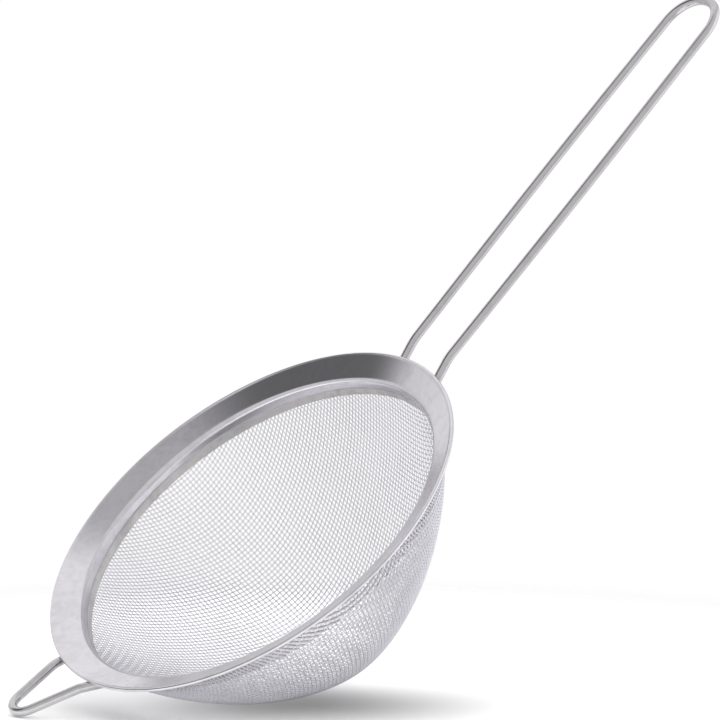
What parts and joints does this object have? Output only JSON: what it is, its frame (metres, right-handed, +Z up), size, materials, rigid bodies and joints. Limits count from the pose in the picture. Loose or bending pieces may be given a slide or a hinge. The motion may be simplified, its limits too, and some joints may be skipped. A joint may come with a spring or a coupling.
{
  "type": "sieve strainer",
  "caption": "Hand sieve strainer: pressed rim, deep bowl of woven wire cloth, long looped wire handle and a small rest ear opposite it.",
  "frame": {"origin": "centre of the mouth, half way up the weld track at the foot of the skirt", "axes": "+Z up out of the mouth, +X from the mouth along the handle"},
  "size_m": [0.3458, 0.1592, 0.1073],
  "materials": {
    "rim_steel": "bright pressed stainless steel",
    "cloth_steel": "plain woven stainless wire, drawn bright",
    "wire_steel": "bright drawn stainless wire",
    "weld_steel": "cleaned resistance weld"
  },
  "bodies": {
    "root": {"rim_ring": "rim_steel", "mesh_bowl": "cloth_steel", "handle_wire": "wire_steel", "rest_ear": "wire_steel", "handle_weld_left": "weld_steel", "handle_weld_right": "weld_steel", "ear_weld_left": "weld_steel", "ear_weld_right": "weld_steel"}
  },
  "joints": []
}
